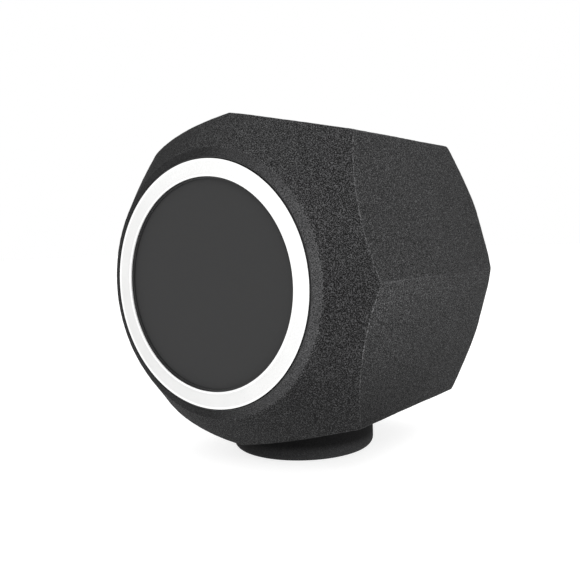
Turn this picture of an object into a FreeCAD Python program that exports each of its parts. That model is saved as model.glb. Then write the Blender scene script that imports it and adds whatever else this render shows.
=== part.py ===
import FreeCAD, Part
import os
import re

import Sketcher
from FreeCAD import Vector

# Microphone isolation shield: an eight-sided block of acoustic foam with a cored chamber for the
# microphone, a pop filter that plugs into the front, and a collar below that grips the microphone.
#
# Frame: origin on the collar's axis in the plane of its foot, +Z up, the filter faces -Y.
# The shell and the filter share one horizontal axis, parallel to Y, at axis_height.

DIMENSIONS = [
    # alias, millimetres (or a plain count or ratio), what it is
    ("axis_height", 111.0, "height of the filter axis above the collar's foot"),
    # foam shell, seen from the front
    ("half_width", 97.4, "axis to each side vertex"),
    ("half_height", 97.8, "axis to the top and bottom vertices"),
    ("corner_across", 74.4, "axis to a corner, sideways"),
    ("corner_up", 81.8, "axis to a corner, upwards"),
    # foam shell, from front to back
    ("front_y", -89.5, "foremost foam, at the socket"),
    ("crease_y", -87.0, "crease where the flat nose meets the front cone"),
    ("crease_radius", 76.8, "radius of that crease"),
    ("front_slope", 1.09, "how far the front cone falls back per mm of radius"),
    ("back_y", 90.8, "flat back of the shell, as far back as the filter is forward"),
    ("back_radius", 93.8, "radius of the flat back"),
    ("back_slope", 1.2, "how far the rear cone comes forward per mm of radius"),
    ("cutter_radius", 118.0, "outer reach of the turning cuts, beyond every corner"),
    ("cutter_margin", 2.0, "how far a cut starts outside the block"),
    # microphone chamber and the window from it to the filter
    ("chamber_radius", 40.0, "bore cored up from below"),
    ("chamber_shoulder", 158.0, "height where the chamber starts to close"),
    ("chamber_top", 172.0, "height of the chamber's roof"),
    ("roof_radius", 28.0, "radius of the flat roof"),
    ("window_radius", 50.0, "opening behind the filter"),
    # filter socket, glued into the shell's front
    ("glue_gap", 0.2, "gap that a glued or seated joint leaves"),
    ("socket_radius", 71.3, "outside of the socket"),
    ("socket_lip_radius", 70.6, "inside of its front lip, around the trim ring"),
    ("socket_bore", 69.4, "inside of its barrel"),
    ("socket_front_y", -89.7, "edge of its front lip"),
    ("socket_step_y", -86.4, "step that the filter frame lands on"),
    ("socket_floor_y", -68.2, "front of its rear flange"),
    ("socket_back_y", -66.2, "back of its rear flange"),
    ("socket_window", 60.0, "hole in its rear flange"),
    # pop filter, from front to back
    ("trim_face_y", -90.3, "face of the white trim ring"),
    ("trim_lip_rise", 0.5, "how far its inner lip stands proud"),
    ("trim_lip_width", 1.2, "width of that lip"),
    ("trim_chamfer", 0.6, "chamfer on its outer edge"),
    ("trim_back_y", -88.9, "back of the trim ring"),
    ("trim_bore", 60.2, "inside of the trim ring"),
    ("trim_radius", 70.0, "outside of the trim ring"),
    ("frame_back_y", -86.9, "back of the filter frame's flange"),
    ("frame_window", 59.2, "inside of its front lip"),
    ("frame_bore", 63.2, "inside of its barrel, which holds the stack"),
    ("frame_barrel", 68.8, "outside of its barrel"),
    ("frame_end_y", -74.0, "rear end of its barrel"),
    ("lip_back_y", -88.1, "back of the front lip, where the stack starts"),
    ("stack_radius", 63.0, "outside of each piece of the stack"),
    ("hoop_bore", 60.6, "inside of the hoop, the spacer and the back ring's spigot"),
    ("mesh_thickness", 0.3, "woven mesh"),
    ("hoop_depth", 2.0, "hoop behind the front mesh"),
    ("spacer_depth", 7.5, "spacer between hoop and rear mesh"),
    ("pad_radius", 60.3, "open-cell foam disc between the meshes"),
    ("pad_clearance", 0.15, "gap in front of and behind that disc"),
    ("back_ring_radius", 68.6, "outside of the back ring"),
    ("back_ring_window", 58.5, "inside of the back ring"),
    ("back_ring_depth", 2.2, "thickness of the back ring's flange"),
    ("seal_y", -79.8, "place of the sealing ring along the filter"),
    ("seal_circle", 67.95, "radius of the sealing ring's centre line"),
    ("seal_cord", 1.1, "radius of its cord"),
    ("groove_floor", 66.8, "radius of the groove it lies in"),
    ("groove_half_width", 1.3, "half the width of that groove"),
    # collar below the shell
    ("sleeve_radius", 45.8, "outside of the sleeve"),
    ("foot_rounding", 4.2, "how far the sleeve's foot is rounded off"),
    ("rounding_share", 0.29, "share of that rounding which is left at its middle"),
    ("sleeve_bore", 35.6, "inside of the sleeve"),
    ("sleeve_top", 40.0, "top of the sleeve"),
    ("core_radius", 35.4, "outside of the rigid core"),
    ("core_bore", 31.0, "inside of the rigid core"),
    ("core_foot", 3.8, "foot of the core"),
    ("core_top", 42.2, "top of the core's flange"),
    ("core_flange", 39.6, "outside of that flange"),
    ("core_flange_depth", 2.0, "thickness of that flange"),
    ("core_lip", 28.0, "inside of the lip above the grip ring"),
    ("core_lip_depth", 4.0, "thickness of that lip"),
    ("grip_bore", 25.0, "bore that grips the microphone"),
    ("grip_radius", 30.8, "outside of the grip ring"),
    ("grip_slit_reach", 29.0, "how far out each slit runs"),
    ("grip_slit_width", 1.2, "width of each slit"),
    ("grip_slit_count", 8, "slits around the bore"),
    ("retainer_depth", 2.0, "thickness of the grip retainer"),
    ("retainer_window", 27.5, "hole in the retainer"),
    # screws
    ("screw_shank", 0.95, "radius of a screw's shank"),
    ("screw_hole", 1.0, "radius of a screw hole"),
    ("screw_head", 1.9, "radius of a screw's head"),
    ("screw_head_depth", 1.2, "height of a screw's head"),
    ("screw_length", 8.0, "shank below the head"),
    ("filter_screw_circle", 65.2, "radius of the screws in the filter"),
    ("filter_screw_count", 6, "screws in the back ring"),
    ("collar_screw_circle", 33.2, "radius of the screws in the collar"),
    ("collar_screw_count", 4, "screws in the grip retainer"),
]

SMALL_VOLUME = 1e-3  # mm3, the least a cut has to remove to count

doc = FreeCAD.newDocument("microphone_shield")


def fill_sheet():
    """Write the driving dimensions into a spreadsheet, one row each."""
    sheet = doc.addObject("Spreadsheet::Sheet", "Dimensions")
    for row, (alias, value, meaning) in enumerate(DIMENSIONS, start=1):
        sheet.set(f"A{row}", meaning)
        sheet.set(f"B{row}", str(value))
        sheet.setAlias(f"B{row}", alias)
    doc.recompute()
    return sheet


sheet = fill_sheet()
ALIASES = re.compile(r"\b(" + "|".join(alias for alias, _, _ in DIMENSIONS) + r")\b")


def bound(formula):
    """A formula in dimension names, as an expression that reads the sheet."""
    return ALIASES.sub(r"Dimensions.\1", formula)


def origin_feature(body, role):
    """The plane or axis of a body's own origin that has this role."""
    return next(f for f in body.Origin.OriginFeatures if f.Role == role)


def new_body(label):
    body = doc.addObject("PartDesign::Body", label)
    body.Label = label
    return body


def sketch_on(body, name, plane, offset=None):
    """An empty sketch on an origin plane, moved by formulas for its attachment's x, y and z."""
    sketch = body.newObject("Sketcher::SketchObject", name)
    sketch.AttachmentSupport = [(origin_feature(body, plane), "")]
    sketch.MapMode = "FlatFace"
    for direction, formula in (offset or {}).items():
        sketch.setExpression(f"AttachmentOffset.Base.{direction}", bound(formula))
    return sketch


def draw_outline(sketch, corners):
    """A closed outline whose corners sit where pairs of formulas put them."""
    count = len(corners)
    start = [Vector(1, 0, 0), Vector(0, 0, 0)]
    for step in range(count):
        turn = FreeCAD.Rotation(Vector(0, 0, 1), 360.0 * step / count)
        start.insert(step, turn.multVec(Vector(10, 0, 0)))
    for index in range(count):
        following = start[(index + 1) % count]
        sketch.addGeometry(Part.LineSegment(start[index], following), False)
    for index in range(count):
        sketch.addConstraint(Sketcher.Constraint("Coincident", index, 2, (index + 1) % count, 1))
    for index, formulas in enumerate(corners):
        for kind, formula in zip(("DistanceX", "DistanceY"), formulas):
            number = sketch.addConstraint(Sketcher.Constraint(kind, index, 1, 10.0))
            name = f"{kind}{index}"
            sketch.renameConstraint(number, name)
            sketch.setExpression(f"Constraints.{name}", bound(formula))


def draw_circle(sketch, centre, radius):
    """A circle from formulas for its centre and radius."""
    sketch.addGeometry(Part.Circle(Vector(10, 10, 0), Vector(0, 0, 1), 5.0), False)
    for kind, formula in zip(("DistanceX", "DistanceY"), centre):
        number = sketch.addConstraint(Sketcher.Constraint(kind, 0, 3, 10.0))
        sketch.renameConstraint(number, f"centre_{kind}")
        sketch.setExpression(f"Constraints.centre_{kind}", bound(formula))
    number = sketch.addConstraint(Sketcher.Constraint("Radius", 0, 5.0))
    sketch.renameConstraint(number, "circle_radius")
    sketch.setExpression("Constraints.circle_radius", bound(radius))


def filter_axis_sketch(body, name, extra_height="0"):
    """A sketch whose x runs along Y and whose y is the distance from the filter axis."""
    return sketch_on(body, name, "YZ_Plane", {"y": f"axis_height + {extra_height}"})


def collar_axis_sketch(body, name, sideways="0"):
    """A sketch whose x is the distance from the collar axis and whose y is the height."""
    return sketch_on(body, name, "XZ_Plane", {"x": sideways})


def turn_round(body, sketch, axis, kind="PartDesign::Revolution"):
    """Turn a sketch all the way round one of its own axes, adding or cutting."""
    feature = body.newObject(kind, f"{sketch.Label}_turned")
    feature.Profile = sketch
    feature.ReferenceAxis = (sketch, [axis])
    feature.Angle = 360.0
    body.Tip = feature
    doc.recompute()
    return feature


def cut_round(body, sketch, axis):
    """Cut a turned groove, and make sure that it took something away."""
    before = body.Shape.Volume
    turn_round(body, sketch, axis, "PartDesign::Groove")
    if before - body.Shape.Volume < SMALL_VOLUME:
        raise RuntimeError(f"{sketch.Label} cuts nothing")


def cut_through(body, sketch):
    """Cut a sketch through the whole body, both ways, and make sure that it took something."""
    before = body.Shape.Volume
    pocket = body.newObject("PartDesign::Pocket", f"{sketch.Label}_cut")
    pocket.Profile = sketch
    pocket.SideType = "Two sides"
    pocket.Type = "ThroughAll"
    pocket.Type2 = "ThroughAll"
    body.Tip = pocket
    doc.recompute()
    if before - body.Shape.Volume < SMALL_VOLUME:
        raise RuntimeError(f"{sketch.Label} cuts nothing")
    return pocket


def repeat_round(body, feature, axis, count):
    """Repeat a feature evenly round an axis."""
    pattern = body.newObject("PartDesign::PolarPattern", f"{feature.Label}_repeated")
    pattern.Originals = [feature]
    pattern.Axis = axis
    pattern.Angle = 360.0
    pattern.setExpression("Occurrences", bound(count))
    body.Tip = pattern
    doc.recompute()
    return pattern


def turned_on_filter_axis(label, corners):
    """A ring or disc on the filter axis, from (y, radius) corners."""
    body = new_body(label)
    sketch = filter_axis_sketch(body, f"{label}_profile")
    draw_outline(sketch, corners)
    turn_round(body, sketch, "H_Axis")
    return body, sketch


def turned_on_collar_axis(label, corners):
    """A ring or tube on the collar axis, from (radius, height) corners."""
    body = new_body(label)
    sketch = collar_axis_sketch(body, f"{label}_profile")
    draw_outline(sketch, corners)
    turn_round(body, sketch, "V_Axis")
    return body


def ring_corners(front, back, inner, outer):
    """The four corners of a plain ring on the filter axis."""
    return [(front, inner), (front, outer), (back, outer), (back, inner)]


# Where the pieces of the filter's stack start and end, each behind the one before it.
HOOP_FRONT = "lip_back_y + mesh_thickness"
SPACER_FRONT = f"{HOOP_FRONT} + hoop_depth"
REAR_MESH_FRONT = f"{SPACER_FRONT} + spacer_depth"
STACK_END = f"{REAR_MESH_FRONT} + mesh_thickness"


def foam_shell():
    """The foam block: eight flats, a turned front and back, the cored chamber and the sleeve's seat."""
    body = new_body("foam_shell")
    outline = sketch_on(body, "shell_outline", "XZ_Plane", {"y": "axis_height", "z": "-back_y"})
    draw_outline(
        outline,
        [
            ("0", "half_height"),
            ("corner_across", "corner_up"),
            ("half_width", "0"),
            ("corner_across", "-corner_up"),
            ("0", "-half_height"),
            ("-corner_across", "-corner_up"),
            ("-half_width", "0"),
            ("-corner_across", "corner_up"),
        ],
    )
    block = body.newObject("PartDesign::Pad", "shell_block")
    block.Profile = outline
    block.setExpression("Length", bound("back_y - front_y"))
    body.Tip = block
    doc.recompute()

    front = filter_axis_sketch(body, "shell_front")
    cone_end = "crease_y + front_slope * (cutter_radius - crease_radius)"
    draw_outline(
        front,
        [
            ("front_y - cutter_margin", "socket_radius + glue_gap"),
            ("front_y", "socket_radius + glue_gap"),
            ("crease_y", "crease_radius"),
            (cone_end, "cutter_radius"),
            ("front_y - cutter_margin", "cutter_radius"),
        ],
    )
    cut_round(body, front, "H_Axis")

    back = filter_axis_sketch(body, "shell_back")
    draw_outline(
        back,
        [
            ("back_y + cutter_margin", "back_radius"),
            ("back_y", "back_radius"),
            ("back_y - back_slope * (cutter_radius - back_radius)", "cutter_radius"),
            ("back_y + cutter_margin", "cutter_radius"),
        ],
    )
    cut_round(body, back, "H_Axis")

    window = filter_axis_sketch(body, "shell_window")
    draw_outline(
        window,
        [
            ("front_y - cutter_margin", "0"),
            ("front_y - cutter_margin", "socket_radius + glue_gap"),
            ("socket_back_y + glue_gap", "socket_radius + glue_gap"),
            ("socket_back_y + glue_gap", "window_radius"),
            ("0", "window_radius"),
            ("0", "0"),
        ],
    )
    cut_round(body, window, "H_Axis")

    chamber = collar_axis_sketch(body, "shell_chamber")
    draw_outline(
        chamber,
        [
            ("0", "0"),
            ("sleeve_radius + glue_gap", "0"),
            ("sleeve_radius + glue_gap", "sleeve_top + glue_gap"),
            ("chamber_radius", "sleeve_top + glue_gap"),
            ("chamber_radius", "chamber_shoulder"),
            ("roof_radius", "chamber_top"),
            ("0", "chamber_top"),
        ],
    )
    cut_round(body, chamber, "V_Axis")
    return body


def filter_socket():
    """The ring glued into the shell's front, which the filter plugs into."""
    body, _ = turned_on_filter_axis(
        "filter_socket",
        [
            ("socket_front_y", "socket_lip_radius"),
            ("socket_front_y", "socket_radius"),
            ("socket_back_y", "socket_radius"),
            ("socket_back_y", "socket_window"),
            ("socket_floor_y", "socket_window"),
            ("socket_floor_y", "socket_bore"),
            ("socket_step_y", "socket_bore"),
            ("socket_step_y", "socket_lip_radius"),
        ],
    )
    return body


def trim_ring():
    """The white ring on the filter's face: a proud inner lip, a flat band and a broken edge."""
    body, _ = turned_on_filter_axis(
        "trim_ring",
        [
            ("trim_face_y - trim_lip_rise", "trim_bore"),
            ("trim_face_y - trim_lip_rise", "trim_bore + trim_lip_width"),
            ("trim_face_y", "trim_bore + trim_lip_width"),
            ("trim_face_y", "trim_radius - trim_chamfer"),
            ("trim_face_y + trim_chamfer", "trim_radius"),
            ("trim_back_y", "trim_radius"),
            ("trim_back_y", "trim_bore"),
        ],
    )
    return body


def filter_frame():
    """The dark frame behind the trim ring: a flange, a barrel, a seal groove and pilot holes."""
    body, profile = turned_on_filter_axis(
        "filter_frame",
        [
            ("trim_back_y", "frame_window"),
            ("trim_back_y", "trim_radius"),
            ("frame_back_y", "trim_radius"),
            ("frame_back_y", "frame_barrel"),
            ("seal_y - groove_half_width", "frame_barrel"),
            ("seal_y - groove_half_width", "groove_floor"),
            ("seal_y + groove_half_width", "groove_floor"),
            ("seal_y + groove_half_width", "frame_barrel"),
            ("frame_end_y", "frame_barrel"),
            ("frame_end_y", "frame_bore"),
            ("lip_back_y", "frame_bore"),
            ("lip_back_y", "frame_window"),
        ],
    )
    pilot = filter_axis_sketch(body, "frame_pilot", "filter_screw_circle")
    draw_outline(
        pilot,
        [
            ("frame_end_y - screw_length", "0"),
            ("frame_end_y - screw_length", "screw_hole"),
            ("frame_end_y + cutter_margin", "screw_hole"),
            ("frame_end_y + cutter_margin", "0"),
        ],
    )
    hole = turn_round(body, pilot, "H_Axis", "PartDesign::Groove")
    repeat_round(body, hole, (profile, ["H_Axis"]), "filter_screw_count")
    return body


def filter_back_ring():
    """The ring screwed to the frame's rear end, whose spigot clamps the stack."""
    body, profile = turned_on_filter_axis(
        "filter_back_ring",
        [
            (STACK_END, "hoop_bore"),
            (STACK_END, "stack_radius"),
            ("frame_end_y", "stack_radius"),
            ("frame_end_y", "back_ring_radius"),
            ("frame_end_y + back_ring_depth", "back_ring_radius"),
            ("frame_end_y + back_ring_depth", "back_ring_window"),
            ("frame_end_y", "back_ring_window"),
            ("frame_end_y", "hoop_bore"),
        ],
    )
    sketch = sketch_on(body, "back_ring_hole", "XZ_Plane", {"y": "axis_height"})
    draw_circle(sketch, ("0", "filter_screw_circle"), "screw_hole")
    hole = cut_through(body, sketch)
    repeat_round(body, hole, (profile, ["H_Axis"]), "filter_screw_count")
    return body


def filter_screws():
    """The screws that hold the back ring, as one group."""
    body = new_body("filter_screws")
    body.AllowCompound = True
    centre = filter_axis_sketch(body, "filter_screw_centre")
    sketch = filter_axis_sketch(body, "filter_screw_profile", "filter_screw_circle")
    seat = "frame_end_y + back_ring_depth"
    draw_outline(
        sketch,
        [
            (f"{seat} - screw_length", "0"),
            (f"{seat} - screw_length", "screw_shank"),
            (seat, "screw_shank"),
            (seat, "screw_head"),
            (f"{seat} + screw_head_depth", "screw_head"),
            (f"{seat} + screw_head_depth", "0"),
        ],
    )
    screw = turn_round(body, sketch, "H_Axis")
    repeat_round(body, screw, (centre, ["H_Axis"]), "filter_screw_count")
    return body


def filter_seal():
    """The sealing ring in the frame's groove: a round cord turned on the filter axis."""
    body = new_body("filter_seal")
    sketch = filter_axis_sketch(body, "filter_seal_profile")
    draw_circle(sketch, ("seal_y", "seal_circle"), "seal_cord")
    turn_round(body, sketch, "H_Axis")
    return body


def plain_stack_pieces():
    """The pieces clamped in the frame, front to back: plain discs and rings."""
    pieces = [
        ("front_mesh", "lip_back_y", HOOP_FRONT, "0", "stack_radius"),
        ("mesh_hoop", HOOP_FRONT, SPACER_FRONT, "hoop_bore", "stack_radius"),
        ("filter_spacer", SPACER_FRONT, REAR_MESH_FRONT, "hoop_bore", "stack_radius"),
        (
            "filter_pad",
            f"{HOOP_FRONT} + pad_clearance",
            f"{REAR_MESH_FRONT} - pad_clearance",
            "0",
            "pad_radius",
        ),
        ("rear_mesh", REAR_MESH_FRONT, STACK_END, "0", "stack_radius"),
    ]
    bodies = []
    for label, front, back, inner, outer in pieces:
        body, _ = turned_on_filter_axis(label, ring_corners(front, back, inner, outer))
        bodies.append(body)
    return bodies


def collar_sleeve():
    """The soft outer sleeve of the collar, with a rounded foot, which the shield stands on."""
    return turned_on_collar_axis(
        "collar_sleeve",
        [
            ("sleeve_bore", "0"),
            ("sleeve_radius - foot_rounding", "0"),
            ("sleeve_radius - rounding_share * foot_rounding", "rounding_share * foot_rounding"),
            ("sleeve_radius", "foot_rounding"),
            ("sleeve_radius", "sleeve_top"),
            ("sleeve_bore", "sleeve_top"),
        ],
    )


def collar_core():
    """The rigid core: a tube, a flange over the sleeve, and a lip above the grip ring."""
    body = turned_on_collar_axis(
        "collar_core",
        [
            ("core_bore", "core_foot"),
            ("core_radius", "core_foot"),
            ("core_radius", "core_top - core_flange_depth"),
            ("core_flange", "core_top - core_flange_depth"),
            ("core_flange", "core_top"),
            ("core_lip", "core_top"),
            ("core_lip", "core_top - core_lip_depth"),
            ("core_bore", "core_top - core_lip_depth"),
        ],
    )
    pilot = collar_axis_sketch(body, "core_pilot", "collar_screw_circle")
    draw_outline(
        pilot,
        [
            ("0", "core_foot - cutter_margin"),
            ("screw_hole", "core_foot - cutter_margin"),
            ("screw_hole", "core_foot + screw_length"),
            ("0", "core_foot + screw_length"),
        ],
    )
    hole = turn_round(body, pilot, "V_Axis", "PartDesign::Groove")
    repeat_round(body, hole, (origin_feature(body, "Z_Axis"), [""]), "collar_screw_count")
    return body


def grip_ring():
    """The soft ring around the microphone, slit so that it opens a little."""
    body = turned_on_collar_axis(
        "grip_ring",
        [
            ("grip_bore", "core_foot + glue_gap"),
            ("grip_radius", "core_foot + glue_gap"),
            ("grip_radius", "core_top - core_lip_depth - glue_gap"),
            ("grip_bore", "core_top - core_lip_depth - glue_gap"),
        ],
    )
    sketch = sketch_on(body, "grip_slit", "XY_Plane")
    draw_outline(
        sketch,
        [
            ("grip_bore - cutter_margin", "-grip_slit_width / 2"),
            ("grip_slit_reach", "-grip_slit_width / 2"),
            ("grip_slit_reach", "grip_slit_width / 2"),
            ("grip_bore - cutter_margin", "grip_slit_width / 2"),
        ],
    )
    slit = cut_through(body, sketch)
    repeat_round(body, slit, (origin_feature(body, "Z_Axis"), [""]), "grip_slit_count")
    return body


def grip_retainer():
    """The ring screwed under the core, which keeps the grip ring in."""
    body = turned_on_collar_axis(
        "grip_retainer",
        [
            ("retainer_window", "core_foot - retainer_depth"),
            ("core_radius", "core_foot - retainer_depth"),
            ("core_radius", "core_foot"),
            ("retainer_window", "core_foot"),
        ],
    )
    sketch = sketch_on(body, "retainer_hole", "XY_Plane")
    draw_circle(sketch, ("collar_screw_circle", "0"), "screw_hole")
    hole = cut_through(body, sketch)
    repeat_round(body, hole, (origin_feature(body, "Z_Axis"), [""]), "collar_screw_count")
    return body


def collar_screws():
    """The screws that hold the grip retainer, as one group."""
    body = new_body("collar_screws")
    body.AllowCompound = True
    sketch = collar_axis_sketch(body, "collar_screw_profile", "collar_screw_circle")
    seat = "core_foot - retainer_depth"
    draw_outline(
        sketch,
        [
            ("0", f"{seat} - screw_head_depth"),
            ("screw_head", f"{seat} - screw_head_depth"),
            ("screw_head", seat),
            ("screw_shank", seat),
            ("screw_shank", f"{seat} + screw_length"),
            ("0", f"{seat} + screw_length"),
        ],
    )
    screw = turn_round(body, sketch, "V_Axis")
    repeat_round(body, screw, (origin_feature(body, "Z_Axis"), [""]), "collar_screw_count")
    return body


def check_and_export(bodies):
    """Refuse failed features and bad shapes, then write one STEP file for each sub-part."""
    doc.recompute()
    for item in doc.Objects:
        if "Invalid" in item.State or "Error" in item.State:
            raise RuntimeError(f"{item.Label} failed: {item.State}")
    for body in bodies:
        if body.Shape.isNull() or not body.Shape.isValid():
            raise RuntimeError(f"{body.Label} has no valid shape")
    os.makedirs("parts", exist_ok=True)
    for body in bodies:
        body.Shape.exportStep(f"parts/{body.Label}.step")
        box = body.Shape.BoundBox
        print(
            f"{body.Label}: {len(body.Shape.Solids)} solid(s), {body.Shape.Volume / 1000:.2f} cm3, "
            f"x {box.XMin:.1f}..{box.XMax:.1f}, y {box.YMin:.1f}..{box.YMax:.1f}, "
            f"z {box.ZMin:.1f}..{box.ZMax:.1f}"
        )


sub_parts = [
    foam_shell(),
    filter_socket(),
    trim_ring(),
    filter_frame(),
    filter_back_ring(),
    filter_screws(),
    filter_seal(),
    *plain_stack_pieces(),
    collar_sleeve(),
    collar_core(),
    grip_ring(),
    grip_retainer(),
    collar_screws(),
]
check_and_export(sub_parts)
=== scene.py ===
import math

import bmesh
import bpy
import numpy as np
from mathutils import Matrix, Vector, noise


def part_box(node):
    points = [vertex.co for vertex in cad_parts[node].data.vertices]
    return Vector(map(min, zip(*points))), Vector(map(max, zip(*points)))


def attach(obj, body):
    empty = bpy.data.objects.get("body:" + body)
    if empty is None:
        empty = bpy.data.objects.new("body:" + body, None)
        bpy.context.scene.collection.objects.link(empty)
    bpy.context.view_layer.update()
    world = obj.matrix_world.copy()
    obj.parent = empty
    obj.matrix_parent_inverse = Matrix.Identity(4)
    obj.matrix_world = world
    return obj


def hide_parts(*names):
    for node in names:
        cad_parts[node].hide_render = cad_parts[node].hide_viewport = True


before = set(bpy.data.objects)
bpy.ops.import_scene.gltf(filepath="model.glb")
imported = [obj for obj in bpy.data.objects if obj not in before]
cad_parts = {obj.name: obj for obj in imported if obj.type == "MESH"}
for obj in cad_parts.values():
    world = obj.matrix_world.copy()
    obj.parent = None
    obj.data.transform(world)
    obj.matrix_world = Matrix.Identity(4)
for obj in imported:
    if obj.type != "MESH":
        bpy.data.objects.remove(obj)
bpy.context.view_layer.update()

MM = 0.001

# ---------------------------------------------------------------- sizes taken from the CAD frame
shell_low, shell_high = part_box("foam_shell")
trim_low, trim_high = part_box("trim_ring")
sleeve_low, sleeve_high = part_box("collar_sleeve")
mesh_low, mesh_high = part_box("front_mesh")
rear_low, rear_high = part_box("rear_mesh")
pad_low, pad_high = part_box("filter_pad")
grip_low, grip_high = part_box("grip_ring")
socket_low, socket_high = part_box("filter_socket")

AXIS_Z = (trim_low.z + trim_high.z) / 2  # height of the filter's and the shell's common axis
HALF_WIDTH = shell_high.x
HALF_HEIGHT = shell_high.z - AXIS_Z
FRONT_Y = shell_low.y
BACK_Y = shell_high.y
TRIM_RADIUS = trim_high.z - AXIS_Z
SOCKET_RADIUS = socket_high.z - AXIS_Z
SOCKET_FRONT_Y = socket_low.y
SOCKET_BACK_Y = socket_high.y
SLEEVE_RADIUS = sleeve_high.x
SLEEVE_TOP = sleeve_high.z
GLUE_GAP = 0.2 * MM

# ---------------------------------------------------------------- the shell's other driving sizes
CORNER = (74.4 * MM, 81.8 * MM)  # a corner of the eight-sided outline, across and up
CREASE_RADIUS = 76.8 * MM  # the crease between the nose and the front cone
CREASE_Y = FRONT_Y + 2.5 * MM
FRONT_SLOPE = 1.09  # how far the front cone falls back for each unit outwards
BACK_RADIUS = 93.8 * MM  # where the back's flat middle meets the rear cone
BACK_SLOPE = 1.2
WINDOW_RADIUS = 50.0 * MM
CHAMBER_RADIUS = 40.0 * MM
CHAMBER_SHOULDER = 158.0 * MM
CHAMBER_TOP = 172.0 * MM
ROOF_RADIUS = 28.0 * MM
RIDGE_ROUNDING = 2.6 * MM  # radius worn onto the ridges that run front to back
ARRIS_ROUNDING = 1.5 * MM  # radius worn onto the curved edges round the front and the back
OUTLINE_STEP = 1.6 * MM
RUN_STEP = 1.7 * MM
SMOOTH_ANGLE = math.radians(50)

# ---------------------------------------------------------------- how the foam has aged, and its painted light and shade
PLAIN_PAINT = {"grain": 1.0, "ridge": 0.0, "tone": 1.0}  # foam with even grain, with no wear or painted highlight on its edges and no painted light or shade, in its own colour
CUT_PAINT = {**PLAIN_PAINT, "grain": 0.6}  # foam that a cutter has left smoother
# turns are degrees round the filter axis: 0 is +X and 90 is up
FULL_TURN = 112  # where the shell is fullest
FULLNESS = 0.005  # by this share of its radius
THIN_TURN = -132  # where it is thinnest
THINNESS = 0.012
# painted light and shade on the front cone: how pale it is painted at each turn
CONE_LIGHT_AND_SHADE = {
    -180: 0.7, -110: 0.66, -50: 0.49, -20: 0.66, 0: 0.66, 20: 0.76,
    45: 0.81, 75: 0.86, 100: 0.7, 125: 0.31, 180: 0.6,
}


# ---------------------------------------------------------------- material helpers
def new_material(name):
    """An empty node material, with its tree and shader."""
    material = bpy.data.materials.new(name)
    material.use_nodes = True
    tree = material.node_tree
    shader = tree.nodes["Principled BSDF"]
    return material, tree, shader


def add_node(tree, kind, **settings):
    """A node with its plain properties and unlinked inputs set by name."""
    node = tree.nodes.new(kind)
    for key, value in settings.items():
        if hasattr(node, key):
            setattr(node, key, value)
        else:
            node.inputs[key.replace("_", " ")].default_value = value
    return node


def object_coordinates(tree):
    """Places in metres on the piece itself."""
    return add_node(tree, "ShaderNodeTexCoord").outputs["Object"]


def noise_texture(tree, coordinates, per_metre, detail=3.0, roughness=0.55):
    """Noise with this many features to the metre, as its factor."""
    node = add_node(tree, "ShaderNodeTexNoise", Scale=per_metre, Detail=detail, Roughness=roughness)
    tree.links.new(coordinates, node.inputs["Vector"])
    return node.outputs["Fac"]


def cell_texture(tree, coordinates, per_metre, feature="F1", randomness=1.0):
    """Distance to the nearest cell centre, or to the cell's edge."""
    node = add_node(tree, "ShaderNodeTexVoronoi", feature=feature, Scale=per_metre, Randomness=randomness)
    tree.links.new(coordinates, node.inputs["Vector"])
    return node.outputs["Distance"]


def ramp(tree, factor, stops):
    """A colour ramp from (position, grey or colour) stops."""
    node = tree.nodes.new("ShaderNodeValToRGB")
    elements = node.color_ramp.elements
    while len(elements) < len(stops):
        elements.new(0.5)
    for element, (position, colour) in zip(elements, stops):
        element.position = position
        rgb = (colour,) * 3 if isinstance(colour, (int, float)) else colour
        element.color = (*rgb, 1.0)
    tree.links.new(factor, node.inputs["Fac"])
    return node.outputs["Color"]


def map_range(tree, value, low, high, new_low, new_high):
    """Stretch a value from one range to another, clamped."""
    node = tree.nodes.new("ShaderNodeMapRange")
    tree.links.new(value, node.inputs["Value"])
    for key, number in (("From Min", low), ("From Max", high), ("To Min", new_low), ("To Max", new_high)):
        node.inputs[key].default_value = number
    return node.outputs["Result"]


def mix(tree, factor, first, second, blend="MIX"):
    """Mix two colours; each argument is a socket or a plain value."""
    node = tree.nodes.new("ShaderNodeMix")
    node.data_type = "RGBA"
    node.blend_type = blend
    for socket, value in zip((node.inputs[0], node.inputs[6], node.inputs[7]), (factor, first, second)):
        if isinstance(value, bpy.types.NodeSocket):
            tree.links.new(value, socket)
        elif isinstance(value, (int, float)) and socket.type == "RGBA":
            socket.default_value = (value, value, value, 1.0)
        else:
            socket.default_value = value
    return node.outputs[2]


def arithmetic(tree, operation, *values):
    """A maths node; each value is a socket or a number."""
    node = add_node(tree, "ShaderNodeMath", operation=operation)
    for socket, value in zip(node.inputs, values):
        if isinstance(value, bpy.types.NodeSocket):
            tree.links.new(value, socket)
        else:
            socket.default_value = value
    return node.outputs[0]


def vertex_value(tree, name):
    """A value painted on the mesh by the code that builds it."""
    return add_node(tree, "ShaderNodeAttribute", attribute_name=name).outputs["Fac"]


def bump(tree, shader, height, depth, strength=1.0):
    """Drive the shader's normal from a height, where 1.0 is this deep."""
    node = add_node(tree, "ShaderNodeBump", Strength=strength, Distance=depth)
    tree.links.new(height, node.inputs["Height"])
    tree.links.new(node.outputs["Normal"], shader.inputs["Normal"])


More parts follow.
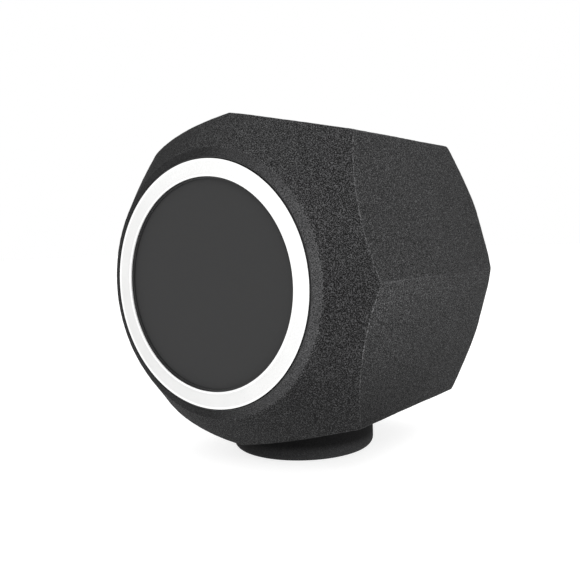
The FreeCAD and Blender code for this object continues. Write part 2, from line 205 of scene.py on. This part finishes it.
# ---------------------------------------------------------------- materials
def foam_material(name, colour, cells, contrast, pit_depth, mottling=0.12):
    """Open-cell foam: pits and struts, fine grit, soft mottling, and paler ridges, partly worn and partly a
    painted highlight.

    The mesh carries three painted values: tone (how pale, carrying painted light and shade), grain (how
    coarse) and ridge (how worn, with a painted highlight).
    """
    material, tree, shader = new_material(name)
    place = object_coordinates(tree)
    darkest = 0.15
    pits = cell_texture(tree, place, cells)
    struts = noise_texture(tree, place, cells * 1.35, detail=2.0, roughness=0.6)
    pores = cell_texture(tree, place, cells * 1.9)
    relief = arithmetic(tree, "MULTIPLY_ADD", pits, 0.45, arithmetic(tree, "MULTIPLY", struts, 0.75))
    relief = arithmetic(tree, "MULTIPLY_ADD", pores, 0.25, relief)

    speckle = map_range(tree, relief, 0.5, 0.95, -1.0, 1.0)
    grain = vertex_value(tree, "grain")
    speckle = arithmetic(tree, "MULTIPLY", arithmetic(tree, "MULTIPLY", speckle, grain), contrast)
    patches = noise_texture(tree, place, 70.0, detail=4.0)
    broad = noise_texture(tree, place, 16.0, detail=2.0)
    cloud = arithmetic(tree, "MULTIPLY_ADD", broad, 0.5, arithmetic(tree, "MULTIPLY", patches, 0.5))
    cloud = map_range(tree, cloud, 0.35, 0.65, -mottling, mottling)
    frays = map_range(tree, noise_texture(tree, place, 420.0, detail=2.0), 0.37, 0.6, 0.25, 1.4)
    # ridge edges painted paler: partly wear, partly a painted highlight
    wear_and_highlight = arithmetic(tree, "MULTIPLY", vertex_value(tree, "ridge"), frays)
    brightness = arithmetic(tree, "ADD", arithmetic(tree, "ADD", speckle, cloud), wear_and_highlight)
    brightness = arithmetic(tree, "ADD", brightness, 1.0)
    # the tone value carries painted light and shade
    brightness = arithmetic(tree, "MULTIPLY", brightness, vertex_value(tree, "tone"))
    brightness = arithmetic(tree, "MAXIMUM", brightness, darkest)
    tree.links.new(mix(tree, 1.0, (*colour, 1.0), brightness, "MULTIPLY"), shader.inputs["Base Color"])
    rough = map_range(tree, struts, 0.3, 0.7, 0.88, 0.99)
    tree.links.new(rough, shader.inputs["Roughness"])
    shader.inputs["Specular IOR Level"].default_value = 0.1
    bump(tree, shader, relief, pit_depth)
    return material


def white_plastic():
    """White moulded plastic: a satin band between polished edges, with faint haze and fine specks; the
    edges and one side of the band are painted brighter, as painted highlight and painted light.
    """
    material, tree, shader = new_material("white_gloss_plastic")
    place = object_coordinates(tree)
    polish_and_highlight = vertex_value(tree, "polish_and_highlight")
    haze = noise_texture(tree, place, 60.0, detail=5.0)
    satin = ramp(tree, haze, [(0.3, (0.655, 0.655, 0.65)), (0.7, (0.7, 0.7, 0.695))])
    # the brighter colour is a painted highlight on the edges and painted light on the lit side
    highlit_colour = ramp(tree, haze, [(0.3, (0.86, 0.86, 0.855)), (0.7, (0.9, 0.9, 0.895))])
    tree.links.new(mix(tree, polish_and_highlight, satin, highlit_colour), shader.inputs["Base Color"])
    specks = noise_texture(tree, place, 900.0, detail=3.0)
    rough = map_range(tree, specks, 0.3, 0.75, 0.3, 0.42)
    rough = arithmetic(tree, "MULTIPLY_ADD", polish_and_highlight, -0.18, rough)
    tree.links.new(rough, shader.inputs["Roughness"])
    bump(tree, shader, specks, 0.01 * MM, 0.5)
    return material


def dark_plastic():
    """Matte black moulded plastic with a spark-eroded grain."""
    material, tree, shader = new_material("dark_matte_plastic")
    place = object_coordinates(tree)
    grain = noise_texture(tree, place, 2600.0, detail=2.0)
    cloud = noise_texture(tree, place, 60.0, detail=3.0)
    colour = ramp(tree, cloud, [(0.3, (0.010, 0.010, 0.0105)), (0.7, (0.017, 0.017, 0.0175))])
    tree.links.new(colour, shader.inputs["Base Color"])
    rough = ramp(tree, grain, [(0.3, 0.42), (0.7, 0.62)])
    tree.links.new(rough, shader.inputs["Roughness"])
    bump(tree, shader, grain, 0.03 * MM, 0.7)
    return material


def black_rubber():
    """Soft black rubber with a faint grey bloom."""
    material, tree, shader = new_material("black_rubber")
    place = object_coordinates(tree)
    bloom = noise_texture(tree, place, 300.0, detail=4.0)
    colour = ramp(tree, bloom, [(0.3, 0.008), (0.7, 0.016)])
    tree.links.new(colour, shader.inputs["Base Color"])
    rough = ramp(tree, bloom, [(0.3, 0.55), (0.7, 0.75)])
    tree.links.new(rough, shader.inputs["Roughness"])
    bump(tree, shader, bloom, 0.02 * MM, 0.5)
    return material


def dark_steel():
    """Blackened screw steel, brighter where the drive bit has rubbed."""
    material, tree, shader = new_material("dark_screw_steel")
    place = object_coordinates(tree)
    marks = noise_texture(tree, place, 1800.0, detail=3.0)
    colour = ramp(tree, marks, [(0.35, 0.05), (0.7, 0.16)])
    tree.links.new(colour, shader.inputs["Base Color"])
    shader.inputs["Metallic"].default_value = 0.9
    rough = ramp(tree, marks, [(0.3, 0.3), (0.7, 0.5)])
    tree.links.new(rough, shader.inputs["Roughness"])
    bump(tree, shader, marks, 0.01 * MM, 0.6)
    return material


def woven_mesh_material():
    """Fine dark woven mesh: two crossed sets of threads, with a little unevenness."""
    material, tree, shader = new_material("fine_woven_mesh")
    place = object_coordinates(tree)
    split = tree.nodes.new("ShaderNodeSeparateXYZ")
    tree.links.new(place, split.inputs[0])
    thread_pitch = 0.42 * MM
    waves = []
    for axis in ("X", "Z"):
        turns = arithmetic(tree, "MULTIPLY", split.outputs[axis], 2 * math.pi / thread_pitch)
        waves.append(arithmetic(tree, "SINE", turns))
    weave = arithmetic(tree, "MULTIPLY", waves[0], waves[1])
    height = arithmetic(tree, "MULTIPLY_ADD", weave, 0.5, 0.5)
    cloud = noise_texture(tree, place, 35.0, detail=3.0)
    threads = ramp(tree, height, [(0.1, (0.0275, 0.0275, 0.0278)), (0.9, (0.0425, 0.0425, 0.043))])
    tone = ramp(tree, cloud, [(0.3, 0.94), (0.7, 1.0)])
    colour = mix(tree, 1.0, threads, tone, "MULTIPLY")
    tree.links.new(colour, shader.inputs["Base Color"])
    rough = ramp(tree, cloud, [(0.3, 0.8), (0.7, 0.9)])
    tree.links.new(rough, shader.inputs["Roughness"])
    shader.inputs["Specular IOR Level"].default_value = 0.2
    bump(tree, shader, height, 0.05 * MM, 0.5)
    return material


# ---------------------------------------------------------------- mesh helpers
def make_object(name, vertices, faces, material, values=None):
    """A mesh object from vertices and faces, with optional painted vertex values."""
    mesh = bpy.data.meshes.new(name)
    mesh.from_pydata([tuple(v) for v in vertices], [], faces)
    for key, numbers in (values or {}).items():
        layer = mesh.attributes.new(key, "FLOAT", "POINT")
        layer.data.foreach_set("value", np.asarray(numbers, dtype=np.float32))
    mesh.materials.append(material)
    thing = bpy.data.objects.new(name, mesh)
    bpy.context.scene.collection.objects.link(thing)
    return thing


def smooth(thing):
    """Shade a piece smooth, but keep its sharp edges."""
    thing.data.shade_smooth()
    thing.data.set_sharp_from_angle(angle=SMOOTH_ANGLE)


def soften(thing, width):
    """Round a piece's sharp edges for good."""
    modifier = thing.modifiers.new("soften", "BEVEL")
    modifier.width = width
    modifier.segments = 2
    modifier.limit_method = "ANGLE"
    modifier.angle_limit = SMOOTH_ANGLE
    modifier.use_clamp_overlap = True
    bpy.context.view_layer.objects.active = thing
    with bpy.context.temp_override(object=thing, active_object=thing):
        bpy.ops.object.modifier_apply(modifier=modifier.name)
    smooth(thing)


def outward(thing):
    """Turn every face outwards."""
    work = bmesh.new()
    work.from_mesh(thing.data)
    bmesh.ops.remove_doubles(work, verts=work.verts, dist=1e-7)
    bmesh.ops.recalc_face_normals(work, faces=work.faces)
    work.to_mesh(thing.data)
    work.free()


def smooth_step(value, low, high):
    """0 below low, 1 above high, with a soft rise between."""
    share = max(0.0, min(1.0, (value - low) / (high - low)))
    return share * share * (3 - 2 * share)


def rounded_corner(before, corner, after, radius, steps):
    """Points that round a corner of an outline with an arc of this radius."""
    a, b, c = (np.array(p, float) for p in (before, corner, after))
    inward = (a - b) / np.linalg.norm(a - b)
    onward = (c - b) / np.linalg.norm(c - b)
    half = math.acos(max(-1.0, min(1.0, float(inward @ onward)))) / 2
    cut = radius / math.tan(half)
    bisector = (inward + onward) / np.linalg.norm(inward + onward)
    centre = b + bisector * radius / math.sin(half)
    first = b + inward * cut - centre
    last = b + onward * cut - centre
    total = math.atan2(first[0] * last[1] - first[1] * last[0], float(first @ last))
    points = []
    for step in range(steps + 1):
        t = total * step / steps
        turn = np.array([[math.cos(t), -math.sin(t)], [math.sin(t), math.cos(t)]])
        points.append(centre + turn @ first)
    return points


def rounded_profile(corners, radius, steps=3):
    """A closed outline with each corner rounded; a corner may carry its own radius as a third number."""
    points = []
    for index, corner in enumerate(corners):
        before = corners[index - 1][:2]
        after = corners[(index + 1) % len(corners)][:2]
        own = corner[2] if len(corner) > 2 else radius
        if own <= 0:
            points.append(np.array(corner[:2], float))
        else:
            points.extend(rounded_corner(before, corner[:2], after, own, steps))
    return points


def turned(name, outline, about, material, segments, values=None):
    """A closed outline of (along, radius) points turned round the filter axis or the collar axis."""
    count = len(outline)
    vertices = []
    for segment in range(segments):
        t = 2 * math.pi * segment / segments
        for along, radius in outline:
            if about == "filter":
                vertices.append((radius * math.sin(t), along, AXIS_Z + radius * math.cos(t)))
            else:
                vertices.append((radius * math.cos(t), radius * math.sin(t), along))
    faces = []
    for segment in range(segments):
        following = (segment + 1) % segments
        for index in range(count):
            nxt = (index + 1) % count
            faces.append((segment * count + index, following * count + index,
                          following * count + nxt, segment * count + nxt))
    painted = {key: [number] * len(vertices) for key, number in (values or {}).items()}
    thing = make_object(name, vertices, faces, material, painted)
    outward(thing)
    smooth(thing)
    return thing


# ---------------------------------------------------------------- the foam shell
def shell_outline():
    """The eight-sided outline as (x, height) points about the filter axis, with its ridges rounded.

    Returns the points and how much of a ridge each one is.
    """
    across, up = CORNER
    quarter = [(0.0, HALF_HEIGHT), (across, up), (HALF_WIDTH, 0.0), (across, -up)]
    vertices = quarter + [(-x, -z) for x, z in quarter]
    arcs = []
    for index, vertex in enumerate(vertices):
        after = vertices[(index + 1) % len(vertices)]
        arcs.append(rounded_corner(vertices[index - 1], vertex, after, RIDGE_ROUNDING, 4))
    points, ridge = [], []
    for index, corner in enumerate(arcs):
        points.extend(corner)
        ridge.extend([0.0, 0.5, 1.0, 0.5, 0.0])
        start, end = corner[-1], arcs[(index + 1) % len(arcs)][0]
        pieces = max(2, round(float(np.linalg.norm(end - start)) / OUTLINE_STEP))
        for step in range(1, pieces):
            points.append(start + (end - start) * step / pieces)
            ridge.append(0.0)
    return np.array(points), np.array(ridge)


def shell_column(radius, low):
    """One column of the shell as (y, radius, zone, wear and painted highlight, grain) stations.

    It runs from the middle of the recess, over the nose, the front cone, the flat and the rear cone,
    to the middle of the back. Every column has the same number of stations. low is 1 on the shell's
    underside, where the front edge is painted palest, with wear and a painted highlight, and 0 higher up.
    """
    bore = SOCKET_RADIUS + GLUE_GAP
    recess_y = SOCKET_BACK_Y + GLUE_GAP
    front_edge = CREASE_Y + FRONT_SLOPE * (radius - CREASE_RADIUS)
    back_edge = min(BACK_Y - BACK_SLOPE * (radius - BACK_RADIUS), BACK_Y - 1.2 * MM)
    back_rim = min(BACK_RADIUS, radius - 1.6 * MM)
    cover_y = SOCKET_FRONT_Y - 0.05 * MM  # the foam's thin lip lies over the socket's edge from here
    lip = bore - 0.3 * MM
    lip_front = (cover_y - 0.35 * MM, bore - 0.2 * MM)
    flat_steps = round((BACK_Y - FRONT_Y) * 0.8 / RUN_STEP)
    # each corner of the section: place, rounding, wear and painted highlight, then the run that follows:
    # steps, zone, grain
    corners = [
        ((recess_y, 0.0), 0.0, 0.0, 4, "hidden", 0.6),
        ((recess_y, bore), 0.0, 0.0, 5, "hidden", 0.6),
        ((cover_y, bore), 0.0, 0.0, 1, "hidden", 0.6),
        ((cover_y, lip), 0.0, 0.0, 1, "nose", 0.3),
        (lip_front, 0.12 * MM, 0.0, 6, "nose", 0.27),
        ((CREASE_Y, CREASE_RADIUS), 0.6 * MM, 2.6, 18, "cone", 1.0),
        ((front_edge, radius), ARRIS_ROUNDING, 2.8 + 1.2 * low, flat_steps, "flat", 1.0),
        ((back_edge, radius), ARRIS_ROUNDING, 0.4, 10, "back", 0.8),
        ((BACK_Y, back_rim), 1.2 * MM, 0.4, 32, "back", 0.8),
        ((BACK_Y, 0.0), 0.0, 0.0, 0, "back", 0.8),
    ]
    places = [corner[0] for corner in corners]
    rounded = []
    for index, (place, rounding, *_) in enumerate(corners):
        if rounding:
            rounded.append(rounded_corner(places[index - 1], place, places[index + 1], rounding, 4))
        else:
            rounded.append([np.array(place)])
    stations = []
    for index, (_, rounding, edge_wear_and_highlight, steps, zone, grain) in enumerate(corners[:-1]):
        early = 0.7 * low if zone == "flat" else 0.0
        shares = (early, max(0.6, early), 1.0, 0.6, 0.0) if rounding else (1.0,)
        for (y, r), share in zip(rounded[index], shares):
            stations.append((y, r, zone, edge_wear_and_highlight * share, grain))
        start, end = rounded[index][-1], rounded[index + 1][0]
        # the cone's last station is close to its edge, so that the edge's wear and painted highlight fade
        # within 0.6 mm
        edge_band = 0.6 * MM / float(np.linalg.norm(end - start))
        for step in range(1, steps):
            along = 1.0 - edge_band if zone == "cone" and step == steps - 1 else step / steps
            y, r = start + (end - start) * along
            stations.append((y, r, zone, 0.0, grain))
    return stations[1:]


def near_ridge(z):
    """1 just under the ridges at the shell's widest, fading to 0 above them and lower down."""
    return max(0.0, 1.0 - abs(z + 8 * MM) / (18 * MM)) if z < 0 else 0.0


def uneven(x, z, share):
    """How far the moulded foam strays from true, as a share of its radius.

    It is a little thin low on one side, and a little full at the top.
    """
    turn = math.degrees(math.atan2(z, x))
    thin = max(0.0, math.cos(math.radians(turn - THIN_TURN))) ** 4
    full = max(0.0, math.cos(math.radians(turn - FULL_TURN))) ** 2
    return (FULLNESS * full - THINNESS * thin) * (1 - share)


def ridge_wear_and_highlight(share):
    """A ridge is painted palest at the front of the shell, where share is 0, with wear and a painted
    highlight.
    """
    return max(0.3, 3.2 - 5.0 * share)


def flat_grain(z, share):
    """The flats' grain is coarsest at the front, and most of all just under the side ridges."""
    return 1.35 - 0.6 * share + 0.8 * near_ridge(z) * (1 - share)


def painted_foam_shading(zone, x, z, share):
    """How pale the foam is painted: painted light on the nose's right side, painted light and shade round
    the cone, and painted shade low on the flats.
    """
    turn = math.degrees(math.atan2(z, x))
    if zone == "nose":
        # painted light: the nose is painted palest on its right side, where the light falls
        return 0.69 + 1.35 * max(0.0, math.cos(math.radians(turn))) ** 0.8
    if zone == "cone":
        # painted light and shade: the cone is painted paler or darker at each turn
        return float(np.interp(turn, list(CONE_LIGHT_AND_SHADE), list(CONE_LIGHT_AND_SHADE.values())))
    if zone == "flat":
        # painted shade: the flats are painted darker low down; they also grow paler towards the back and a
        # little under the side ridges
        painted_low_shade = max(0.0, -z / HALF_HEIGHT - 0.35)
        return 0.675 + 0.16 * share + 0.02 * near_ridge(z) - 0.85 * painted_low_shade * (1.25 - share)
    return 0.95


def build_shell(material):
    """The shell as one closed skin, before its chamber and window are cut."""
    outline, ridge = shell_outline()
    radii = np.linalg.norm(outline, axis=1)
    vertices, grain, wear_and_highlight, tone = [], [], [], []
    for (x, z), radius, on_ridge in zip(outline, radii, ridge):
        low = smooth_step(-z, 60 * MM, 85 * MM)
        for y, r, zone, edge_wear_and_highlight, grit in shell_column(radius, low):
            share = (y - FRONT_Y) / (BACK_Y - FRONT_Y)
            place = (x * r / radius, z * r / radius)
            stray = 1.0 + uneven(*place, share) * smooth_step(r, CREASE_RADIUS, radius)
            vertices.append((place[0] * stray, y, AXIS_Z + place[1] * stray))
            wear_and_highlight.append(max(edge_wear_and_highlight, on_ridge * ridge_wear_and_highlight(share)) if zone == "flat" else edge_wear_and_highlight)
            grain.append(grit * flat_grain(z, share) if zone == "flat" else grit)
            tone.append(painted_foam_shading(zone, *place, share))
    columns = len(outline)
    rows = len(vertices) // columns
    faces = []
    for column in range(columns):
        following = (column + 1) % columns
        for row in range(rows - 1):
            faces.append((column * rows + row, column * rows + row + 1,
                          following * rows + row + 1, following * rows + row))
    for row, y in ((0, SOCKET_BACK_Y + GLUE_GAP), (rows - 1, BACK_Y)):
        hub = len(vertices)
        vertices.append((0.0, y, AXIS_Z))
        grain.append(0.6)
        wear_and_highlight.append(0.0)
        tone.append(1.0)
        for column in range(columns):
            faces.append((hub, column * rows + row, ((column + 1) % columns) * rows + row))
    paint = {"grain": grain, "ridge": wear_and_highlight, "tone": tone}
    shell = make_object("foam_body", vertices, faces, material, paint)
    outward(shell)
    return shell


def cut_away(thing, cutter):
    """Subtract a closed cutter and remove it."""
    modifier = thing.modifiers.new("cut", "BOOLEAN")
    modifier.operation = "DIFFERENCE"
    modifier.solver = "EXACT"
    modifier.object = cutter
    bpy.context.view_layer.objects.active = thing
    bpy.context.view_layer.update()
    with bpy.context.temp_override(object=thing, active_object=thing):
        bpy.ops.object.modifier_apply(modifier=modifier.name)
    mesh = cutter.data
    bpy.data.objects.remove(cutter)
    bpy.data.meshes.remove(mesh)


def roughen(thing, fine=0.10 * MM, broad=0.18 * MM):
    """Move each vertex a little along its normal, as cut foam is never quite true."""
    mesh = thing.data
    normals = np.zeros(len(mesh.vertices) * 3)
    mesh.vertices.foreach_get("normal", normals)
    normals = normals.reshape(-1, 3)
    for vertex, normal in zip(mesh.vertices, normals):
        place = vertex.co.copy()
        shift = fine * noise.noise(place / (2.4 * MM)) + broad * noise.noise(place / (28 * MM))
        vertex.co = place + Vector(normal) * shift
    mesh.update()


def foam_body(material):
    """The foam shell, with its microphone chamber and its sound window cut out."""
    shell = build_shell(material)
    below = -5 * MM
    seat_radius = SLEEVE_RADIUS + GLUE_GAP
    seat_top = SLEEVE_TOP + GLUE_GAP
    chamber = turned(
        "chamber_cutter",
        [(below, 0.0), (below, seat_radius), (seat_top, seat_radius), (seat_top, CHAMBER_RADIUS),
         (CHAMBER_SHOULDER, CHAMBER_RADIUS), (CHAMBER_TOP, ROOF_RADIUS), (CHAMBER_TOP, 0.0)],
        "collar", material, 128, CUT_PAINT)
    cut_away(shell, chamber)
    ahead = SOCKET_BACK_Y - 5 * MM
    window = turned(
        "window_cutter",
        [(ahead, 0.0), (ahead, WINDOW_RADIUS), (0.0, WINDOW_RADIUS), (0.0, 0.0)],
        "filter", material, 128, CUT_PAINT)
    cut_away(shell, window)
    roughen(shell)
    smooth(shell)
    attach(shell, "shield")
    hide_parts("foam_shell")
    return shell


# ---------------------------------------------------------------- the collar
def collar_cover(material):
    """The sleeve, with its softly rounded foot, painted lighter on one side as painted light, and painted
    dark close under the shell as painted shade.
    """
    bore = 35.6 * MM
    foot_rounding = 5.0 * MM
    wall = [(height * MM, SLEEVE_RADIUS, 0.0) for height in range(6, 30)]
    outline = rounded_profile(
        [(sleeve_low.z, bore, 0.8 * MM), (sleeve_low.z, SLEEVE_RADIUS, foot_rounding), *wall,
         (SLEEVE_TOP, SLEEVE_RADIUS, 0.3 * MM), (SLEEVE_TOP, bore, 0.3 * MM)],
        0.5 * MM, 6)
    cover = turned("collar_cover", outline, "collar", material, 160, PLAIN_PAINT)
    painted_lit_turn = math.radians(-20)
    for vertex, tone in zip(cover.data.vertices, cover.data.attributes["tone"].data):
        x, y, z = vertex.co
        # painted light: the sleeve is painted paler towards its right front, where the light falls
        painted_side_light = 0.78 + 0.7 * max(0.0, math.cos(math.atan2(y, x) - painted_lit_turn)) ** 2
        # painted shade: dark close under the shell, where shade falls
        tone.value = painted_side_light * (1.0 - 0.75 * smooth_step(z, foot_rounding, 10.5 * MM))
    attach(cover, "shield")
    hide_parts("collar_sleeve")


def grip_pad(material):
    """The slit foam ring that grips the microphone."""
    bore = 25.0 * MM
    outer = grip_high.x
    reach = 29.0 * MM
    half_slit = 0.6 * MM
    slits = 8
    arc_steps = 10
    sections = []
    for slit in range(slits):
        middle = 2 * math.pi * slit / slits
        mouth = math.asin(half_slit / bore)
        bottom = math.asin(half_slit / reach)
        here = [(bore, middle - mouth), (reach, middle - bottom),
                (reach, middle + bottom), (bore, middle + mouth)]
        sections += here
        start = here[-1][1]
        end = middle + 2 * math.pi / slits - mouth
        sections += [(bore, start + (end - start) * step / arc_steps) for step in range(1, arc_steps)]
    vertices = []
    for radius, angle in sections:
        low, high = grip_low.z, grip_high.z
        for r, z in ((radius, low), (outer, low), (outer, high), (radius, high)):
            vertices.append((r * math.cos(angle), r * math.sin(angle), z))
    count = len(sections)
    faces = []
    for section in range(count):
        following = (section + 1) % count
        for side in range(4):
            nxt = (side + 1) % 4
            faces.append((section * 4 + side, section * 4 + nxt, following * 4 + nxt, following * 4 + side))
    painted = {key: [number] * len(vertices) for key, number in PLAIN_PAINT.items()}
    pad = make_object("grip_pad", vertices, faces, material, painted)
    outward(pad)
    soften(pad, 0.35 * MM)
    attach(pad, "shield")
    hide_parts("grip_ring")


# ---------------------------------------------------------------- the pop filter
def white_ring(material):
    """The trim ring: a proud rounded lip, a satin band and a low rounded rim, undercut behind both."""
    bore = 60.2 * MM
    lip = trim_low.y
    face = lip + 0.5 * MM
    rim = face - 0.25 * MM
    back = trim_high.y
    undercut = 0.8 * MM
    lip_depth = 0.65 * MM
    rim_depth = 0.3 * MM
    outline = rounded_profile(
        [
            (back, bore + undercut, 0.1 * MM),
            (lip + lip_depth, bore + undercut, 0.1 * MM),
            (lip + lip_depth, bore, 0.1 * MM),
            (lip, bore, 0.3 * MM),
            (lip, bore + 1.1 * MM, 0.4 * MM),
            (face, bore + 1.5 * MM, 0.3 * MM),
            (face, bore + 2.2 * MM, 0.2 * MM),
            (face - 0.08 * MM, bore + 2.5 * MM, 0.2 * MM),
            (face - 0.08 * MM, TRIM_RADIUS - 1.4 * MM, 0.3 * MM),
            (rim, TRIM_RADIUS - 1.0 * MM, 0.3 * MM),
            (rim, TRIM_RADIUS, 0.12 * MM),
            (rim + rim_depth, TRIM_RADIUS, 0.08 * MM),
            (rim + rim_depth, TRIM_RADIUS - undercut, 0.1 * MM),
            (back, TRIM_RADIUS - undercut, 0.1 * MM),
        ],
        0.2 * MM, 5)
    ring = turned("white_ring", outline, "filter", material, 256)
    polish_and_highlight = []
    for vertex in ring.data.vertices:
        x, z = vertex.co.x, vertex.co.z - AXIS_Z
        # the edges are polished and painted brighter, as a painted highlight
        edge = smooth_step(abs(math.hypot(x, z) - (bore + TRIM_RADIUS) / 2), 3.4 * MM, 3.9 * MM)
        # painted light: the band is painted lighter towards the upper right, where the light falls
        painted_lit_side = 0.3 + 0.3 * math.cos(math.atan2(z, x) - math.radians(35))
        polish_and_highlight.append(max(edge, painted_lit_side))
    layer = ring.data.attributes.new("polish_and_highlight", "FLOAT", "POINT")
    layer.data.foreach_set("value", np.asarray(polish_and_highlight, dtype=np.float32))
    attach(ring, "pop_filter")
    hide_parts("trim_ring")


def mesh_disc(name, low, high, node, material):
    """A woven disc, drawn tight, so it crowns by a hair, with its cut edge."""
    radius = high.z - AXIS_Z
    crown = 0.12 * MM
    rings, segments = 24, 128
    vertices, faces = [], []
    for side, y in ((0, low.y), (1, high.y)):
        vertices.append((0.0, y, AXIS_Z))
        for ring in range(1, rings + 1):
            share = ring / rings
            sink = crown * share ** 2 if side == 0 else 0.0
            reach = radius * share
            for segment in range(segments):
                t = 2 * math.pi * segment / segments
                vertices.append((reach * math.sin(t), y + sink, AXIS_Z + reach * math.cos(t)))
    block = 1 + rings * segments

    def at(side, ring, segment):
        return side * block + 1 + (ring - 1) * segments + segment % segments

    for side in (0, 1):
        for segment in range(segments):
            faces.append((side * block, at(side, 1, segment), at(side, 1, segment + 1)))
            for ring in range(1, rings):
                faces.append((at(side, ring, segment), at(side, ring + 1, segment),
                              at(side, ring + 1, segment + 1), at(side, ring, segment + 1)))
    for segment in range(segments):
        faces.append((at(0, rings, segment), at(1, rings, segment),
                      at(1, rings, segment + 1), at(0, rings, segment + 1)))
    disc = make_object(name, vertices, faces, material)
    outward(disc)
    smooth(disc)
    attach(disc, "pop_filter")
    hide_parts(node)


def filter_foam_disc(material):
    """The foam disc between the meshes, with softened edges."""
    radius = pad_high.z - AXIS_Z
    outline = rounded_profile(
        [(pad_low.y, 0.0, 0.0), (pad_low.y, radius, 0.8 * MM),
         (pad_high.y, radius, 0.8 * MM), (pad_high.y, 0.0, 0.0)],
        0.5 * MM, 4)
    disc = turned("filter_foam", outline, "filter", material, 128, PLAIN_PAINT)
    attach(disc, "pop_filter")
    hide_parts("filter_pad")


# ---------------------------------------------------------------- carried-over CAD nodes
def dress(node, material):
    """Give a carried-over CAD node its material."""
    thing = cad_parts[node]
    thing.data.materials.clear()
    thing.data.materials.append(material)


# ---------------------------------------------------------------- scene: floor, light, camera
def pale_floor():
    """A plain pale floor, a hair below the object's foot."""
    size = 6.0
    corners = [(-size, -size, 0.0), (size, -size, 0.0), (size, size, 0.0), (-size, size, 0.0)]
    material, tree, shader = new_material("pale_floor")
    shader.inputs["Base Color"].default_value = (0.45, 0.45, 0.45, 1.0)
    shader.inputs["Roughness"].default_value = 0.9
    shader.inputs["Emission Color"].default_value = (1.0, 1.0, 1.0, 1.0)
    shader.inputs["Emission Strength"].default_value = 0.78
    floor = make_object("floor", [(x, y, z - 0.05 * MM) for x, y, z in corners], [(0, 1, 2, 3)], material)


def soft_light(name, place, target, size, power):
    """A round soft lamp, turned towards a point."""
    lamp = bpy.data.lights.new(name, "AREA")
    lamp.shape = "DISK"
    lamp.size = size
    lamp.energy = power
    thing = bpy.data.objects.new(name, lamp)
    thing.location = place
    thing.rotation_euler = (Vector(target) - Vector(place)).to_track_quat("-Z", "Y").to_euler()
    bpy.context.scene.collection.objects.link(thing)


def studio():
    """An even white surround, with a key lamp in front and a broader one at the side."""
    world = bpy.data.worlds.new("studio")
    bpy.context.scene.world = world
    world.use_nodes = True
    sky = world.node_tree.nodes["Background"]
    sky.inputs["Color"].default_value = (1.0, 1.0, 1.0, 1.0)
    sky.inputs["Strength"].default_value = 1.0
    middle = (0.0, 0.0, AXIS_Z)
    soft_light("key", (0.45, -0.5, 0.55), middle, 0.35, 1.2)
    soft_light("side", (1.2, -0.1, 0.3), middle, 0.6, 3.0)


def camera():
    """The camera: where it stands, where it looks, and how it is turned."""
    lens = bpy.data.cameras.new("camera")
    lens.sensor_width = 36.0
    lens.lens = 46.92
    thing = bpy.data.objects.new("camera", lens)
    yaw, pitch, roll = (math.radians(a) for a in (35.88, 3.955, -1.92))
    aim = Matrix.Rotation(yaw, 4, "Z") @ Matrix.Rotation(math.pi / 2 - pitch, 4, "X")
    place = Matrix.Translation((284.9 * MM, -404.0 * MM, AXIS_Z + 24.8 * MM))
    thing.matrix_world = place @ aim @ Matrix.Rotation(roll, 4, "Z")
    bpy.context.scene.collection.objects.link(thing)
    bpy.context.scene.camera = thing


# ---------------------------------------------------------------- build
shell_foam = foam_material(
    "charcoal_foam", (0.0262, 0.0262, 0.0267), cells=1600.0, contrast=3.6, pit_depth=0.3 * MM)
collar_foam = foam_material(
    "collar_foam", (0.017, 0.017, 0.0175), cells=1500.0, contrast=0.6, pit_depth=0.06 * MM, mottling=0.08)
grip_foam = foam_material(
    "grip_foam", (0.02, 0.02, 0.0205), cells=1300.0, contrast=0.5, pit_depth=0.15 * MM)
pad_foam = foam_material(
    "filter_foam", (0.03, 0.03, 0.03), cells=700.0, contrast=0.8, pit_depth=0.4 * MM)
plastic = dark_plastic()
steel = dark_steel()
weave = woven_mesh_material()

foam_body(shell_foam)
collar_cover(collar_foam)
grip_pad(grip_foam)
white_ring(white_plastic())
mesh_disc("front_weave", mesh_low, mesh_high, "front_mesh", weave)
mesh_disc("rear_weave", rear_low, rear_high, "rear_mesh", weave)
filter_foam_disc(pad_foam)
for node in ("filter_socket", "filter_frame", "filter_back_ring", "mesh_hoop", "filter_spacer",
             "collar_core", "grip_retainer"):
    dress(node, plastic)
for node in ("filter_screws", "collar_screws"):
    dress(node, steel)
dress("filter_seal", black_rubber())

pale_floor()
studio()
camera()
bpy.context.scene.view_settings.view_transform = "Standard"
